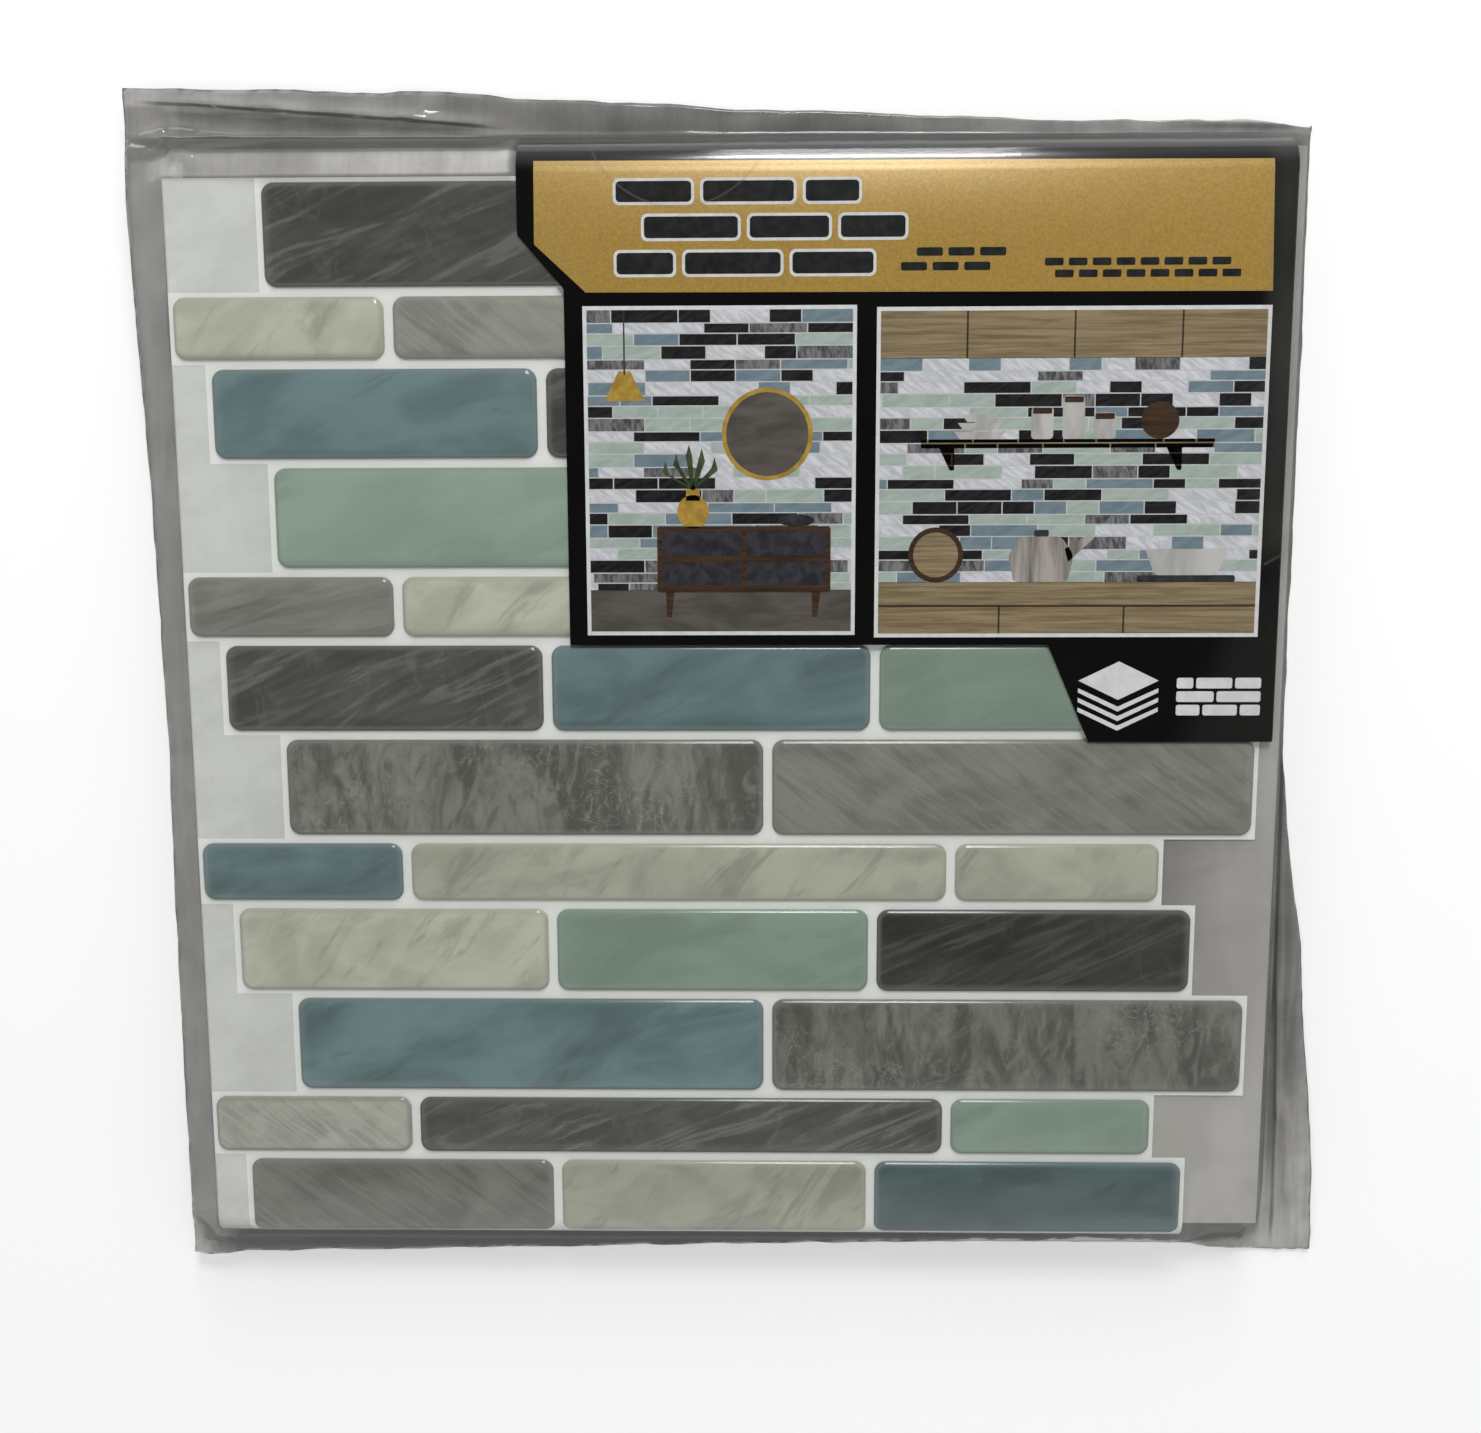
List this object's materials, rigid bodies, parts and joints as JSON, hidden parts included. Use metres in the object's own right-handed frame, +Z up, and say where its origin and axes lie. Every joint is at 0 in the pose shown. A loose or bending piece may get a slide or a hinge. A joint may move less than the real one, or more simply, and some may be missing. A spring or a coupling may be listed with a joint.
{
  "type": "peel and stick backsplash tile pack",
  "caption": "Flat pack of interlocking peel and stick backsplash tile sheets with raised gel tiles, a folded header card and a clear film sleeve.",
  "frame": {"origin": "on the floor under the middle of the pack", "axes": "+Z up from the floor, +Y towards the end with the header card's fold, +X to the right as the top sheet is read"},
  "size_m": [0.347, 0.344, 0.0207],
  "materials": {
    "gel_charcoal": "glossy domed gel, marbled",
    "gel_cream": "glossy domed gel, marbled",
    "gel_grey_beige": "glossy domed gel, marbled",
    "gel_blue": "glossy domed gel, marbled",
    "gel_green": "glossy domed gel, marbled",
    "gel_grey": "glossy domed gel, marbled",
    "gel_smoky": "glossy domed gel, marbled",
    "vinyl_white": "satin white vinyl",
    "liner_paper": "warm grey release paper",
    "packed_sheet": "packed tile sheet",
    "card_print": "gloss printed card",
    "clear_film": "clear packing film"
  },
  "bodies": {
    "root": {"gel_tile_01_a": "gel_charcoal", "gel_tile_01_b": "gel_cream", "gel_tile_02_a": "gel_cream", "gel_tile_02_b": "gel_grey_beige", "gel_tile_02_c": "gel_blue", "gel_tile_03_a": "gel_blue", "gel_tile_03_b": "gel_charcoal", "gel_tile_03_c": "gel_cream", "gel_tile_04_a": "gel_green", "gel_tile_04_b": "gel_smoky", "gel_tile_05_a": "gel_grey", "gel_tile_05_b": "gel_cream", "gel_tile_05_c": "gel_green", "gel_tile_06_a": "gel_charcoal", "gel_tile_06_b": "gel_blue", "gel_tile_06_c": "gel_green", "gel_tile_07_a": "gel_smoky", "gel_tile_07_b": "gel_grey", "gel_tile_08_a": "gel_blue", "gel_tile_08_b": "gel_cream", "gel_tile_08_c": "gel_cream", "gel_tile_09_a": "gel_cream", "gel_tile_09_b": "gel_green", "gel_tile_09_c": "gel_charcoal", "gel_tile_10_a": "gel_blue", "gel_tile_10_b": "gel_smoky", "gel_tile_11_a": "gel_grey_beige", "gel_tile_11_b": "gel_charcoal", "gel_tile_11_c": "gel_green", "gel_tile_12_a": "gel_grey", "gel_tile_12_b": "gel_cream", "gel_tile_12_c": "gel_blue", "vinyl_backing": "vinyl_white", "release_liner": "liner_paper", "sheet_02": "packed_sheet", "sheet_03": "packed_sheet", "sheet_04": "packed_sheet", "sheet_05": "packed_sheet", "sheet_06": "packed_sheet", "sheet_07": "packed_sheet", "sheet_08": "packed_sheet", "sheet_09": "packed_sheet", "sheet_10": "packed_sheet", "header_card": "card_print", "clear_film_sleeve": "clear_film"}
  },
  "joints": []
}
